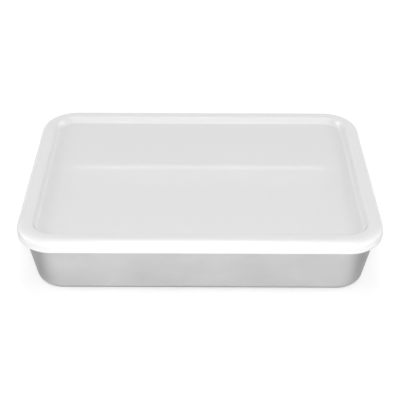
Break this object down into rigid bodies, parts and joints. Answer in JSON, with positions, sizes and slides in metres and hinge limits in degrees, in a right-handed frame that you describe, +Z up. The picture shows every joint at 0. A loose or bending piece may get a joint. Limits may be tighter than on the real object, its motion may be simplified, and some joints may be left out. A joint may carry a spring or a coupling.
{
  "type": "cake pan with lid",
  "caption": "Rectangular baking pan of drawn stainless sheet with flared walls, round corners and a rolled rim, closed by a translucent press-on lid with a recessed panel.",
  "frame": {"origin": "middle of the underside of the pan's flat base", "axes": "+X along the length, +Y along the width, away from the picture's camera, +Z up"},
  "size_m": [0.3424, 0.2414, 0.0679],
  "materials": {
    "steel_sheet": "satin",
    "lid_plastic": "translucent, semi-gloss"
  },
  "bodies": {
    "pan_body": {"pan": "steel_sheet"},
    "lid_body": {"lid": "lid_plastic"}
  },
  "joints": [
    {"name": "lid_lift", "type": "slide", "parent": "pan_body", "child": "lid_body", "axis": [0, 0, 1], "range_m": [0, 0.1]}
  ]
}
